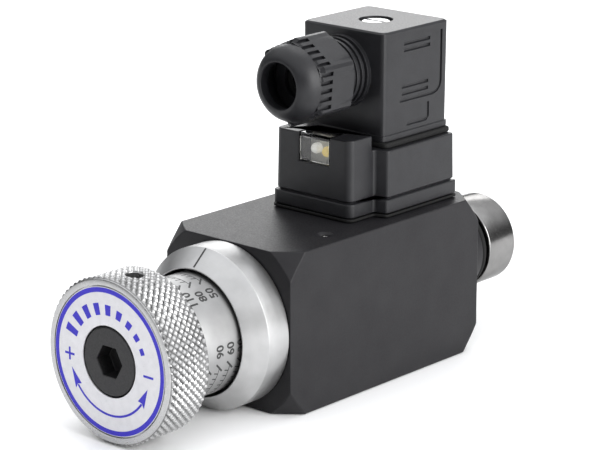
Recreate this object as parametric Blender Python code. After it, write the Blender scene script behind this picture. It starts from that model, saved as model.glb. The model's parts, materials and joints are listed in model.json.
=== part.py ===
"""Adjustable valve unit: graduated knob, square block, end port fitting and DIN plug connector.

Sizes are in millimetres and become metres when a mesh is made. X runs across the block, Y runs
along the valve with the knob at -Y and the port at +Y, and Z is up. The origin is the centre of
the block's bottom face.
"""
import math

import bmesh
import bpy
from mathutils import Matrix, Vector

MM = 0.001
GAP = 0.3                 # left between pieces that rest on each other

# block
BLOCK_W = 45.0            # square section
BLOCK_L = 80.0
FRONT_Y = -BLOCK_L / 2
BACK_Y = BLOCK_L / 2
AXIS_Z = BLOCK_W / 2      # height of the valve's axis
CONE_R = 27.15            # radius of the turned cone where it meets an end face
CONE_SLOPE = 0.78         # radius gained for each millimetre back from that face

# bores in the block
CAVITY_R = 17.6           # front cavity that the scale drum screws into
CAVITY_END = -25.0
CHAMBER_R = 10.5          # spring chamber
CHAMBER_END = 22.0
REAR_BORE_R = 9.1         # takes the piston bush and the port neck
TOP_SCREW = (15.3, -18.0)

# adjuster
KNOB_R = 22.35
KNOB_FACE = -84.4
KNOB_BACK = -70.1
KNOB_BORE_R = 7.4
LABEL_R = 19.8
LABEL_RECESS_R = 20.1
SCREW_HEAD_R = 9.3
HEX_SOCKET_AF = 8.0
HEX_SOCKET_DEPTH = 4.6
DRUM_R = 16.5
DRUM_IN_R = 14.2
DRUM_END = -45.0
SPINDLE_R = 7.1
SET_SCREW_TURN = 5.0      # degrees from straight up towards +X
SET_SCREW_Y = -76.4
RING_R = 22.3
RING_BORE_R = 17.4
RING_LIP = -53.2
RING_BAND = -48.0         # where the ring's cone starts

# rear end
BOSS_R = 13.0
BOSS_END = 55.0
FITTING_R = 13.1
FITTING_START = 58.1
FITTING_END = 70.1
PORT_R = 5.9              # core bore of a G1/4 port

# piston and switch
PISTON_R = 4.0
PISTON_BORE_R = 4.15
PLUNGER_Y = 17.3
CASE_BOTTOM = 34.3
CASE_TOP = 44.6
TERMINALS = (10.5, 18.0, 25.5)

# connector
PLUG_HALF_W = 14.6
PLUG_FRONT = 6.9
PLUG_BACK = 34.95
PLUG_MID_Y = (PLUG_FRONT + PLUG_BACK) / 2
PLUG_BOTTOM = 65.25
PLUG_TOP = 95.5
BASE_BOTTOM = 46.3
FLANGE_TOP = 50.1
BASE_TOP = 63.6
LAMP_TOP = 67.6           # top of the lamp compartment
LAMP_BACK = 3.5
NARROW_HALF_W = 13.6
NARROW_FRONT = -5.8
WIDE_HALF_W = 17.6
WIDE_BACK = 34.4
STEP_Y = 4.45             # where the narrow front of the base widens
NOSE_R = 2.2              # rounding of the base's two front corners
WINDOW_X = 0.6
WINDOW_HALF_W = 5.6
WINDOW_BOTTOM = 59.5
BASE_SCREWS = [(sx * 12.6, y) for sx in (-1, 1) for y in (11.0, 29.0)]
GROOVE_HALF_W = 0.45
PINS = [(-6.2, PLUG_MID_Y, 0), (6.2, PLUG_MID_Y, 0), (0.0, 27.5, 1), (0.0, 14.2, 1)]

# cable gland
GLAND_Z = 83.34
GLAND_AF = 21.9
GLAND_CORNER_R = 12.35    # the hexagon's corners are turned down to this
GLAND_TWIST = 5.0         # the hex's turn from corner-up, in degrees
NUT_BACK = -1.2
NUT_FRONT = -19.7
NUT_BORE_R = 6.4
NUT_LIMIT_FROM = 9.6      # the hexagon caps only radii above this, so the bore stays round
NECK_R = 9.0

# sides of turned parts
ROUND = 40                # knob, ring, drum and the bores around them
MEDIUM = 32               # rear fitting, gland
SMALL = 20                # inner parts
TINY = 10                 # fasteners


# ---------------------------------------------------------------- helpers

def clear_scene():
    for obj in list(bpy.data.objects):
        bpy.data.objects.remove(obj, do_unlink=True)


def material(name, colour, roughness, metallic=0.0, alpha=1.0):
    mat = bpy.data.materials.new(name)
    mat.use_nodes = True
    shader = mat.node_tree.nodes["Principled BSDF"]
    shader.inputs["Base Color"].default_value = (*colour, 1.0)
    shader.inputs["Roughness"].default_value = roughness
    shader.inputs["Metallic"].default_value = metallic
    shader.inputs["Alpha"].default_value = alpha
    return mat


def group(name, x=0.0, y=0.0, z=0.0):
    """An empty on a joint's axis, which carries the pieces of one moving group."""
    empty = bpy.data.objects.new(name, None)
    empty.location = Vector((x, y, z)) * MM
    empty.empty_display_size = 0.01
    bpy.context.collection.objects.link(empty)
    return empty


def make(name, bm, mat, parent=None, smooth=35.0):
    """Turns a bmesh in millimetres into a named object whose origin is its parent's."""
    pivot = parent.location / MM if parent else Vector()
    bmesh.ops.recalc_face_normals(bm, faces=bm.faces)
    bmesh.ops.translate(bm, verts=bm.verts, vec=-pivot)
    bmesh.ops.scale(bm, verts=bm.verts, vec=(MM, MM, MM))
    mesh = bpy.data.meshes.new(name)
    bm.to_mesh(mesh)
    bm.free()
    mesh.shade_smooth()
    mesh.set_sharp_from_angle(angle=math.radians(smooth))
    obj = bpy.data.objects.new(name, mesh)
    if mat:
        mesh.materials.append(mat)
    obj.parent = parent
    bpy.context.collection.objects.link(obj)
    return obj


def combine(obj, bm, operation="DIFFERENCE"):
    """Joins a hidden tool body to obj with an exact Boolean."""
    tool = make("tool_" + obj.name, bm, None, obj.parent)
    tool.hide_render = True
    tool.display_type = "WIRE"
    tool.hide_set(True)
    mod = obj.modifiers.new("Boolean", "BOOLEAN")
    mod.operation = operation
    mod.solver = "EXACT"
    mod.object = tool


def join(*parts):
    """Puts several bmeshes into one, as separate bodies."""
    whole = bmesh.new()
    for part in parts:
        mesh = bpy.data.meshes.new("part")
        part.to_mesh(mesh)
        part.free()
        whole.from_mesh(mesh)
        bpy.data.meshes.remove(mesh)
    return whole


def along_y(x=0.0, z=AXIS_Z):
    """Matrix that lays a turned shape's own axis along +Y."""
    return Matrix.Translation((x, 0.0, z)) @ Matrix.Rotation(-math.pi / 2, 4, "X")


def along_z(x=0.0, y=0.0):
    return Matrix.Translation((x, y, 0.0))


def skin(bm, rings, closed):
    """Bridges rings of vertices; a ring of one vertex is a point on the axis."""
    pairs = list(zip(rings, rings[1:]))
    if closed:
        pairs.append((rings[-1], rings[0]))
    for low, high in pairs:
        count = max(len(low), len(high))
        for i in range(count):
            j = (i + 1) % count
            if len(low) == 1 and len(high) == 1:
                continue
            if len(low) == 1:
                bm.faces.new((low[0], high[i], high[j]))
            elif len(high) == 1:
                bm.faces.new((low[i], low[j], high[0]))
            else:
                bm.faces.new((low[i], low[j], high[j], high[i]))


def lathe(profile, sides, matrix, limit=None):
    """Turns (along, radius) points. A profile with no point on the axis makes a closed tube.

    limit, if given, is a function of the angle that caps the radius, as a hexagon's flats do.
    """
    bm = bmesh.new()
    rings = []
    for along, radius in profile:
        if radius == 0.0:
            rings.append([bm.verts.new(matrix @ Vector((0.0, 0.0, along)))])
            continue
        ring = []
        for i in range(sides):
            turn = 2.0 * math.pi * i / sides
            r = min(radius, limit(turn)) if limit and radius > NUT_LIMIT_FROM else radius
            ring.append(bm.verts.new(matrix @ Vector((r * math.cos(turn), r * math.sin(turn), along))))
        rings.append(ring)
    skin(bm, rings, closed=all(radius > 0.0 for along, radius in profile))
    return bm


def box(x0, x1, y0, y1, z0, z1):
    bm = bmesh.new()
    size = Vector((x1 - x0, y1 - y0, z1 - z0))
    middle = Vector((x0 + x1, y0 + y1, z0 + z1)) / 2
    bmesh.ops.create_cube(bm, size=1.0, matrix=Matrix.Translation(middle) @ Matrix.Diagonal((*size, 1.0)))
    return bm


def fillet(points, radius, steps=3):
    """Rounds every corner of a closed outline with arcs of one radius, or of one radius a corner."""
    result = []
    count = len(points)
    radii = radius if isinstance(radius, list) else [radius] * count
    for i, radius in enumerate(radii):
        corner = Vector(points[i])
        before = (Vector(points[i - 1]) - corner).normalized()
        after = (Vector(points[(i + 1) % count]) - corner).normalized()
        half = before.angle(after) / 2
        reach = radius / math.tan(half)
        centre = corner + (before + after).normalized() * (radius / math.sin(half))
        start = corner + before * reach - centre
        sweep = math.pi - 2 * half
        sign = 1.0 if before.x * after.y - before.y * after.x < 0 else -1.0
        for k in range(steps + 1):
            turn = sign * sweep * k / steps
            c, s = math.cos(turn), math.sin(turn)
            result.append((centre.x + c * start.x - s * start.y, centre.y + s * start.x + c * start.y))
    return result


def rectangle(half_w, y0, y1, radius=1.2, steps=3):
    return fillet([(-half_w, y0), (half_w, y0), (half_w, y1), (-half_w, y1)], radius, steps)


def loft(levels, matrix=Matrix.Identity(4)):
    """A closed solid through (z, outline) levels, all outlines having the same number of points."""
    bm = bmesh.new()
    rings = [[bm.verts.new(matrix @ Vector((x, y, z))) for x, y in outline] for z, outline in levels]
    skin(bm, rings, closed=False)
    bm.faces.new(rings[0])
    bm.faces.new(rings[-1])
    return bm


def prism_x(outline, half_w, x=0.0):
    """Extrudes a (y, z) outline across X, centred on x."""
    across = Matrix(((0, 0, 1, x), (1, 0, 0, 0), (0, 1, 0, 0), (0, 0, 0, 1)))
    return loft([(-half_w, outline), (half_w, outline)], across)


def cylinder(x, y, z0, z1, radius, sides=SMALL):
    return lathe([(z0, 0.0), (z0, radius), (z1, radius), (z1, 0.0)], sides, along_z(x, y))


def torus(major, minor, at, sides, matrix, section=8):
    angles = [2.0 * math.pi * i / section for i in range(section)]
    return lathe([(at + minor * math.sin(a), major + minor * math.cos(a)) for a in angles], sides, matrix)


def tube(points, radius, sides):
    """A round wire along a list of points, with flat ends."""
    bm = bmesh.new()
    rings = []
    side = None
    for i, point in enumerate(points):
        ahead = Vector(points[min(i + 1, len(points) - 1)]) - Vector(points[max(i - 1, 0)])
        ahead.normalize()
        if side is None:
            side = ahead.orthogonal().normalized()
        side = (side - ahead * side.dot(ahead)).normalized()
        up = ahead.cross(side)
        angles = [2.0 * math.pi * k / sides for k in range(sides)]
        rings.append([bm.verts.new(Vector(point) + radius * (math.cos(a) * side + math.sin(a) * up))
                      for a in angles])
    skin(bm, rings, closed=False)
    bm.faces.new(rings[0])
    bm.faces.new(rings[-1])
    return bm


def hexagon(af):
    """The radius of a hexagon's flats at an angle, with a corner at 30 degrees, for lathe's limit."""
    def radius(turn):
        within = (turn - math.pi / 6) % (math.pi / 3) - math.pi / 6
        return af / 2 / math.cos(within)
    return radius


# ---------------------------------------------------------------- housing

def valve_body(mat):
    body = make("valve_body", box(-BLOCK_W / 2, BLOCK_W / 2, FRONT_Y, BACK_Y, 0.0, BLOCK_W), mat)
    over, deep = 2.0, 8.0
    cone = [(FRONT_Y - over, 0.0), (FRONT_Y - over, CONE_R - over * CONE_SLOPE),
            (FRONT_Y + deep, CONE_R + deep * CONE_SLOPE), (BACK_Y - deep, CONE_R + deep * CONE_SLOPE),
            (BACK_Y + over, CONE_R - over * CONE_SLOPE), (BACK_Y + over, 0.0)]
    combine(body, lathe(cone, 64, along_y()), "INTERSECT")
    bore = [(FRONT_Y - over, 0.0), (FRONT_Y - over, CAVITY_R), (CAVITY_END, CAVITY_R),
            (CAVITY_END, CHAMBER_R), (CHAMBER_END, CHAMBER_R), (CHAMBER_END, REAR_BORE_R),
            (BACK_Y + over, REAR_BORE_R), (BACK_Y + over, 0.0)]
    combine(body, lathe(bore, ROUND, along_y()))
    combine(body, box(-5.0, 5.0, 6.5, 29.5, 34.0, BLOCK_W + 1))
    combine(body, cylinder(0.0, PLUNGER_Y, 31.0, 35.0, 1.8))
    holes = [cylinder(x, y, 40.0, BLOCK_W + 1, 1.8, TINY) for x, y in BASE_SCREWS]
    seat = [(40.8, 0.0), (40.8, 1.7), (44.2, 1.7), (45.6, 3.0), (45.6, 0.0)]
    holes.append(lathe(seat, 16, along_z(*TOP_SCREW)))
    combine(body, join(*holes))
    return body


def top_set_screw(mat):
    profile = [(41.2, 0.0), (41.2, 1.35), (44.2, 1.35), (44.2, 0.7), (43.2, 0.7), (43.2, 0.0)]
    make("top_set_screw", lathe(profile, TINY, along_z(*TOP_SCREW)), mat)


def index_ring(mat):
    chamfer = 0.4
    profile = [(FRONT_Y - GAP, RING_BORE_R), (FRONT_Y - GAP, RING_R), (RING_BAND, RING_R),
               (RING_LIP + chamfer, RING_BORE_R + chamfer), (RING_LIP, RING_BORE_R + 0.2),
               (RING_LIP, RING_BORE_R)]
    make("index_ring", lathe(profile, ROUND, along_y()), mat)


def guide_bush(mat):
    flange = CAVITY_END - GAP
    profile = [(-48.0, KNOB_BORE_R), (-48.0, 9.8), (flange - 2.4, 9.8), (flange - 2.4, 17.2),
               (flange, 17.2), (flange, 10.2), (-23.6, 10.2), (-23.6, KNOB_BORE_R)]
    make("guide_bush", lathe(profile, 24, along_y()), mat)


def bush_circlip(mat):
    """An open spring ring that holds the guide bush down in the cavity."""
    outer, inner, steps = 17.3, 15.0, 22
    half_gap = math.radians(14.0)
    angles = [half_gap + (2 * math.pi - 2 * half_gap) * i / steps for i in range(steps + 1)]
    outline = [(outer * math.cos(a), outer * math.sin(a)) for a in angles]
    outline += [(inner * math.cos(a), inner * math.sin(a)) for a in reversed(angles)]
    bm = bmesh.new()
    low, high = ([bm.verts.new(along_y() @ Vector((x, y, at))) for x, y in outline] for at in (-29.2, -28.1))
    skin(bm, [low, high], closed=False)
    last = len(outline) - 1
    for ring in (low, high):
        for i in range(steps):
            bm.faces.new((ring[i], ring[i + 1], ring[last - i - 1], ring[last - i]))
    make("bush_circlip", bm, mat)


def piston_bush(mat):
    bore = PISTON_BORE_R
    profile = [(22.3, bore), (22.3, 8.2), (22.9, 8.8), (28.4, 8.8), (28.4, 7.3), (30.6, 7.3), (30.6, 8.8),
               (32.0, 8.8), (32.0, bore), (27.6, bore), (27.6, 5.8), (25.0, 5.8), (25.0, bore)]
    make("piston_bush", lathe(profile, SMALL, along_y()), mat)


def seals(mat):
    make("piston_seal", torus(4.95, 0.7, 26.3, SMALL, along_y(), 5), mat)
    make("bush_seal", torus(8.15, 0.7, 29.5, SMALL, along_y(), 5), mat)
    make("port_seal", torus(11.75, 1.05, 56.4, MEDIUM, along_y(), 6), mat)


def port_neck(mat):
    profile = [(32.9, 2.5), (32.9, 8.2), (33.5, 8.8), (BACK_Y + GAP, 8.8), (BACK_Y + GAP, BOSS_R),
               (BOSS_END - 0.4, BOSS_R), (BOSS_END, BOSS_R - 0.4), (BOSS_END, 10.4), (57.8, 10.4),
               (57.8, 6.9), (49.7, 6.9), (49.7, 2.5)]
    make("port_neck", lathe(profile, MEDIUM, along_y()), mat)


def port_fitting(mat):
    edge = 0.6
    profile = [(50.0, 3.0), (50.0, 6.1), (50.5, 6.6), (FITTING_START, 6.6), (FITTING_START, FITTING_R - edge),
               (FITTING_START + edge, FITTING_R), (FITTING_END - edge, FITTING_R),
               (FITTING_END, FITTING_R - edge), (FITTING_END, PORT_R + 1.3), (FITTING_END - 1.3, PORT_R),
               (60.5, PORT_R), (59.0, 3.0)]
    make("port_fitting", lathe(profile, MEDIUM, along_y()), mat)


# ---------------------------------------------------------------- adjuster

def knob(mat, parent):
    edge = 0.35
    profile = [(KNOB_BACK, KNOB_BORE_R), (-78.2, KNOB_BORE_R), (-78.2, 9.6), (-83.6, 9.6), (-83.6, LABEL_RECESS_R),
               (KNOB_FACE, LABEL_RECESS_R), (KNOB_FACE, KNOB_R - edge), (KNOB_FACE + edge, KNOB_R),
               (KNOB_BACK - 0.6, KNOB_R), (KNOB_BACK, KNOB_R - 0.6)]
    piece = make("knob", lathe(profile, ROUND, along_y()), mat, parent)
    hole = [(6.5, 0.0), (6.5, 1.6), (18.0, 1.6), (18.0, 2.3), (24.0, 2.3), (24.0, 0.0)]
    combine(piece, lathe(hole, TINY, radial(SET_SCREW_TURN, SET_SCREW_Y)))


def radial(turn, y):
    """Matrix whose own axis points out from the valve's axis, turned from straight up towards +X."""
    return Matrix.Translation((0.0, y, AXIS_Z)) @ Matrix.Rotation(math.radians(turn), 4, "Y")


def knob_set_screw(mat, parent):
    profile = [(8.0, 0.0), (8.0, 1.3), (17.2, 1.3), (17.2, 0.7), (16.0, 0.7), (16.0, 0.0)]
    make("knob_set_screw", lathe(profile, TINY, radial(SET_SCREW_TURN, SET_SCREW_Y)), mat, parent)


def knob_label(mat, parent):
    profile = [(-83.9, 9.7), (-83.9, LABEL_R), (-84.3, LABEL_R), (-84.3, 9.7)]
    make("knob_label", lathe(profile, ROUND, along_y()), mat, parent)


def knob_screw(mat, parent):
    face, under, tip = -84.2, -78.5, -66.0
    profile = [(face, 0.0), (face, SCREW_HEAD_R - 0.3), (face + 0.3, SCREW_HEAD_R), (under, SCREW_HEAD_R),
               (under, 4.0), (tip - 0.8, 4.0), (tip, 3.2), (tip, 0.0)]
    piece = make("knob_screw", lathe(profile, 24, along_y()), mat, parent)
    corner = HEX_SOCKET_AF / 2 / math.cos(math.pi / 6)
    floor = face + HEX_SOCKET_DEPTH
    socket = lathe([(face - 1, 0.0), (face - 1, corner), (floor, corner), (floor, 0.0)], 6, along_y())
    combine(piece, socket)


def scale_drum(mat, parent):
    front = KNOB_BACK + GAP
    profile = [(front, KNOB_BORE_R), (front, DRUM_R), (DRUM_END, DRUM_R), (DRUM_END, DRUM_IN_R),
               (-67.3, DRUM_IN_R), (-67.3, KNOB_BORE_R)]
    make("scale_drum", lathe(profile, ROUND, along_y()), mat, parent)


def adjusting_spindle(mat, parent):
    profile = [(-20.8, 0.0), (-20.8, 2.9), (-19.6, 2.9), (-19.6, 5.8), (-20.9, SPINDLE_R),
               (-77.9, SPINDLE_R), (-77.9, 4.3), (-64.0, 4.3), (-62.5, 0.0)]
    make("adjusting_spindle", lathe(profile, SMALL, along_y()), mat, parent)


def front_spring_seat(mat, parent):
    profile = [(-15.0, 0.0), (-15.0, 2.9), (-16.6, 2.9), (-16.6, 9.4), (-16.2, 9.8), (-14.0, 9.8),
               (-14.0, 6.1), (-10.4, 6.1), (-10.0, 5.7), (-10.0, 0.0)]
    make("front_spring_seat", lathe(profile, SMALL, along_y()), mat, parent)


def thrust_ball(mat, parent):
    bm = bmesh.new()
    bmesh.ops.create_uvsphere(bm, u_segments=12, v_segments=6, radius=2.5,
                              matrix=Matrix.Translation((0.0, -17.95, AXIS_Z)))
    make("thrust_ball", bm, mat, parent)


def main_spring(mat, parent):
    wire, mean, turns, steps = 1.05, 7.6, 5.5, 12
    start, end = -14.0 + GAP + wire, 15.6 - GAP - wire
    count = int(turns * steps)
    points = []
    for i in range(count + 1):
        turn = 2.0 * math.pi * i / steps
        y = start + (end - start) * i / count
        points.append((mean * math.cos(turn), y, AXIS_Z + mean * math.sin(turn)))
    make("main_spring", tube(points, wire, 5), mat, parent, smooth=80.0)


# ---------------------------------------------------------------- piston and switch

def spring_plate(mat, parent):
    """The cone on its rim lifts the switch plunger as the plate moves towards the knob."""
    profile = [(11.6, 0.0), (11.6, 5.7), (12.0, 6.1), (15.6, 6.1), (15.6, 7.6), (19.6, 9.6), (21.6, 9.6),
               (21.6, 0.0)]
    make("spring_plate", lathe(profile, 24, along_y()), mat, parent)


def piston(mat, parent):
    chamfer = 0.4
    start, end = 21.9, 32.0
    profile = [(start, 0.0), (start, PISTON_R - chamfer), (start + chamfer, PISTON_R),
               (end - chamfer, PISTON_R), (end, PISTON_R - chamfer), (end, 0.0)]
    make("piston", lathe(profile, SMALL, along_y()), mat, parent)


def microswitch(case_mat, metal):
    outline = fillet([(8.0, CASE_BOTTOM), (28.0, CASE_BOTTOM), (28.0, CASE_TOP), (8.0, CASE_TOP)], 0.6, 2)
    case = make("microswitch_case", prism_x(outline, 3.2), case_mat)
    combine(case, cylinder(0.0, PLUNGER_Y, CASE_BOTTOM - 1, 37.0, 1.4, 12))
    for number, y in enumerate(TERMINALS, 1):
        tag = box(-1.2, 1.2, y - 0.3, y + 0.3, CASE_TOP + GAP, 46.4)
        make(f"switch_terminal_{number}", tag, metal)


def microswitch_plunger(mat, parent):
    profile = [(31.55, 0.0), (31.55, 0.5), (31.9, 0.95), (35.6, 0.95), (35.6, 0.0)]
    make("microswitch_plunger", lathe(profile, 12, along_z(0.0, PLUNGER_Y)), mat, parent)


def switch_leads(mat):
    """Three short wires from the switch's tags to the feet of the contact pins."""
    ends = zip(TERMINALS, (PINS[3], PINS[0], PINS[2]))
    for number, (tag_y, (pin_x, pin_y, turned)) in enumerate(ends, 1):
        start, end = Vector((0.0, tag_y, 46.95)), Vector((pin_x * 0.8, pin_y, 47.7))
        end.y += 1.5 if pin_x else 0.0
        steps = 5
        points = []
        for i in range(steps + 1):
            t = i / steps
            ease = t * t * (3.0 - 2.0 * t)
            points.append((start.x + (end.x - start.x) * ease, start.y + (end.y - start.y) * t,
                           start.z + (end.z - start.z) * t))
        make(f"switch_lead_{number}", tube(points, 0.4, 5), mat, smooth=80.0)


# ---------------------------------------------------------------- connector base

def stepped_outline(narrow, front, wide, back, step, nose=NOSE_R, radius=1.0):
    """The base's plan: a narrow front and a wide rear with a slanted step between them."""
    corners = [(-narrow, front), (narrow, front), (narrow, step), (wide, step + 1.0), (wide, back),
               (-wide, back), (-wide, step + 1.0), (-narrow, step)]
    return fillet(corners, [nose, nose] + [radius] * 6, 3)


def flange_gasket(mat):
    outline = stepped_outline(14.5, -6.7, 18.35, 35.2, STEP_Y - 1.3)
    piece = make("flange_gasket", loft([(BLOCK_W + GAP, outline), (BLOCK_W + 1.0, outline)]), mat)
    holes = [cylinder(x, y, BLOCK_W - 1, BLOCK_W + 2, 1.9, 8) for x, y in BASE_SCREWS]
    combine(piece, join(box(-5.6, 5.6, 6.0, 30.0, BLOCK_W - 1, BLOCK_W + 2), *holes))


def connector_base(mat):
    flange = stepped_outline(14.35, -6.55, 18.25, 35.1, STEP_Y - 1.0)
    groove, foot, wall = (stepped_outline(NARROW_HALF_W + grow, NARROW_FRONT - grow, WIDE_HALF_W + grow,
                                          WIDE_BACK + grow, STEP_Y - grow) for grow in (-0.4, 0.15, -0.1))
    levels = [(BASE_BOTTOM, flange), (FLANGE_TOP, flange), (FLANGE_TOP, groove), (FLANGE_TOP + 0.5, groove),
              (FLANGE_TOP + 0.5, foot), (LAMP_TOP, wall)]
    piece = make("connector_base", loft(levels), mat)
    combine(piece, box(-20.0, 20.0, LAMP_BACK, 40.0, BASE_TOP, LAMP_TOP + 1))
    well = rectangle(15.3, 8.0, 31.9, 1.2, 2)
    combine(piece, loft([(48.3, well), (BASE_TOP + 1, well)]))
    pocket = [(-8.0, WINDOW_BOTTOM), (-3.1, WINDOW_BOTTOM), (-3.1, 56.2), (3.0, 56.2), (3.0, 69.0),
              (-8.0, 69.0)]
    combine(piece, prism_x(pocket, WINDOW_HALF_W, WINDOW_X))
    combine(piece, box(-2.0, 2.0, 2.5, 9.0, 57.0, 60.0))
    holes = [cylinder(x, y, BASE_BOTTOM - 1, 49.0, 1.8, TINY) for x, y in BASE_SCREWS]
    combine(piece, join(box(-5.6, 5.6, 9.0, 29.0, BASE_BOTTOM - 1, 49.0), *holes))


def base_screws(mat):
    profile = [(41.0, 0.0), (41.0, 1.4), (48.6, 1.4), (48.6, 2.5), (50.2, 2.5), (50.2, 1.2), (49.2, 1.2),
               (49.2, 0.0)]
    for number, (x, y) in enumerate(BASE_SCREWS, 1):
        make(f"base_screw_{number}", lathe(profile, TINY, along_z(x, y)), mat)


def blade(pin, half_w, half_t, z0, z1):
    """A flat blade or slot at a pin's place, wide along Y or, if turned, along X."""
    x, y, turned = pin
    dx, dy = (half_w, half_t) if turned else (half_t, half_w)
    return box(x - dx, x + dx, y - dy, y + dy, z0, z1)


def pin_carrier(mat):
    bottom, top, boss = 48.6, 52.0, 56.0
    outline = rectangle(9.8, 8.4, 31.5, 0.8, 2)
    piece = make("pin_carrier", loft([(bottom, outline), (top, outline)]), mat)
    combine(piece, cylinder(0.0, PLUG_MID_Y, top - 1, boss, 3.4, 16), "UNION")
    slots = [blade(pin, 3.35, 0.6, bottom - 1, top + 1) for pin in PINS]
    combine(piece, join(cylinder(0.0, PLUG_MID_Y, 50.0, boss + 1, 1.8, 12), *slots))


def contact_pins(mat):
    for number, pin in enumerate(PINS, 1):
        make(f"contact_pin_{number}", blade(pin, 3.15, 0.4, 48.3, 62.0), mat)


def lamps(board_mat, clear_mat, amber_mat):
    make("led_board", box(WINDOW_X - 4.9, WINDOW_X + 4.9, -0.7, 0.4, 56.6, 65.7), board_mat)
    for name, x, z, mat in (("led_power", -1.9, 63.0, clear_mat), ("led_signal", 2.1, 62.6, amber_mat)):
        profile = [(-1.0, 0.0), (-1.0, 1.5), (-2.3, 1.5), (-3.0, 1.1), (-3.3, 0.5), (-3.35, 0.0)]
        make(name, lathe(profile, 14, along_y(WINDOW_X + x, z)), mat)


def led_lens(mat):
    """A clear window that wraps from the front of the lamp compartment over its top edge."""
    front, back, half_w = NARROW_FRONT + 0.2, 2.5, WINDOW_HALF_W - GAP
    outline = [(front, WINDOW_BOTTOM + GAP), (front + 1.3, WINDOW_BOTTOM + GAP), (front + 1.3, LAMP_TOP - 1.3),
               (back, LAMP_TOP - 1.3), (back, LAMP_TOP - 0.05), (front + 0.5, LAMP_TOP - 0.05),
               (front, LAMP_TOP - 0.5)]
    make("led_lens", prism_x(outline, half_w, WINDOW_X), mat)


# ---------------------------------------------------------------- plug

def plug_outline(grow, steps=2):
    return rectangle(PLUG_HALF_W + grow, PLUG_FRONT - grow, PLUG_BACK + grow, 1.6, steps)


def ribbon(path, half, x0, x1):
    """A band of the given half width along a (y, z) path, from x0 to x1."""
    rings = []
    bm = bmesh.new()
    for i, (y, z) in enumerate(path):
        ahead = Vector(path[min(i + 1, len(path) - 1)]) - Vector(path[max(i - 1, 0)])
        side = Vector((-ahead.y, ahead.x)).normalized() * half
        corners = ((x0, side), (x1, side), (x1, -side), (x0, -side))
        rings.append([bm.verts.new((x, y + off.x, z + off.y)) for x, off in corners])
    skin(bm, rings, closed=False)
    bm.faces.new(rings[0])
    bm.faces.new(rings[-1])
    return bm


def hook(y_long, z_top, z_low, y_end, radius, steps=3):
    """A path down, round a quarter circle and along."""
    path = [(y_long, z_top)]
    for i in range(steps + 1):
        turn = math.pi / 2 * i / steps
        path.append((y_long - radius + radius * math.cos(turn), z_low + radius - radius * math.sin(turn)))
    return path + [(y_end, z_low)]


def side_grooves(side):
    """The grooves pressed into one side of the plug: a long hook, two pairs of bars and a small hook."""
    x0, x1 = sorted((side * (PLUG_HALF_W - 0.6), side * (PLUG_HALF_W + 0.5)))
    paths = [hook(31.7, 93.1, 75.7, 14.0, 3.0), hook(26.3, 73.5, 68.7, 17.1, 0.6, 1)]
    paths += [[(15.5, z), (26.8, z)] for z in (91.45, 89.6)]
    paths += [[(14.8, z), (26.2, z)] for z in (79.5, 77.55)]
    return [ribbon(path, GROOVE_HALF_W, x0, x1) for path in paths]


def plug_housing(mat, parent):
    skirt, low, high, lip = (plug_outline(grow) for grow in (0.25, -0.08, 0.08, -0.42))
    levels = [(PLUG_BOTTOM, skirt), (66.9, skirt), (66.9, low), (PLUG_TOP - 0.5, high), (PLUG_TOP, lip)]
    piece = make("plug_housing", loft(levels), mat, parent)
    neck = [(8.5, 0.0), (8.5, 10.1), (5.6, 10.1), (5.6, NECK_R), (4.7, NECK_R), (4.7, 9.8), (3.7, 9.8),
            (3.7, NECK_R), (2.8, NECK_R), (2.8, 9.6), (1.8, 9.6), (1.8, NECK_R), (-8.8, NECK_R), (-9.3, 8.5),
            (-9.3, 0.0)]
    combine(piece, lathe(neck, MEDIUM, along_y(0.0, GLAND_Z)), "UNION")
    cavity = rectangle(12.2, 9.5, 32.2, 1.2, 2)
    combine(piece, loft([(PLUG_BOTTOM - 1, cavity), (90.5, cavity)]))
    hole = [(90.0, 0.0), (90.0, 1.9), (92.6, 1.9), (92.6, 4.8), (96.5, 4.8), (96.5, 0.0)]
    combine(piece, lathe(hole, 24, along_z(0.0, PLUG_MID_Y)))
    combine(piece, join(*side_grooves(1), *side_grooves(-1)))
    bore = [(-10.0, 0.0), (-10.0, 6.5), (10.5, 6.5), (10.5, 0.0)]
    combine(piece, lathe(bore, 24, along_y(0.0, GLAND_Z)))


def plug_gasket(mat, parent):
    outline, hole = rectangle(16.0, 6.5, 34.9, 1.6, 2), rectangle(12.6, 9.1, 32.6, 1.2, 2)
    piece = make("plug_gasket", loft([(BASE_TOP + GAP, outline), (PLUG_BOTTOM - GAP, outline)]), mat, parent)
    combine(piece, loft([(BASE_TOP - 1, hole), (PLUG_BOTTOM + 1, hole)]))


def plug_insert(mat, parent):
    bottom, top = 57.0, 72.0
    outline = rectangle(11.6, 10.3, 31.4, 1.0, 2)
    piece = make("plug_insert", loft([(bottom, outline), (top, outline)]), mat, parent)
    slots = [blade(pin, 3.6, 0.9, bottom - 1, 66.0) for pin in PINS]
    combine(piece, join(cylinder(0.0, PLUG_MID_Y, bottom - 1, top + 1, 2.2, 12), *slots))


def terminal_screws(mat, parent):
    profile = [(72.3, 0.0), (72.3, 1.7), (74.0, 1.7), (74.4, 1.2), (74.4, 0.0)]
    for number, (x, y, turned) in enumerate(PINS, 1):
        make(f"terminal_screw_{number}", lathe(profile, TINY, along_z(x, y)), mat, parent)


def screw_washer(mat, parent):
    profile = [(92.9, 2.0), (92.9, 4.2), (93.5, 4.2), (93.5, 2.0)]
    make("screw_washer", lathe(profile, SMALL, along_z(0.0, PLUG_MID_Y)), mat, parent)


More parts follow.
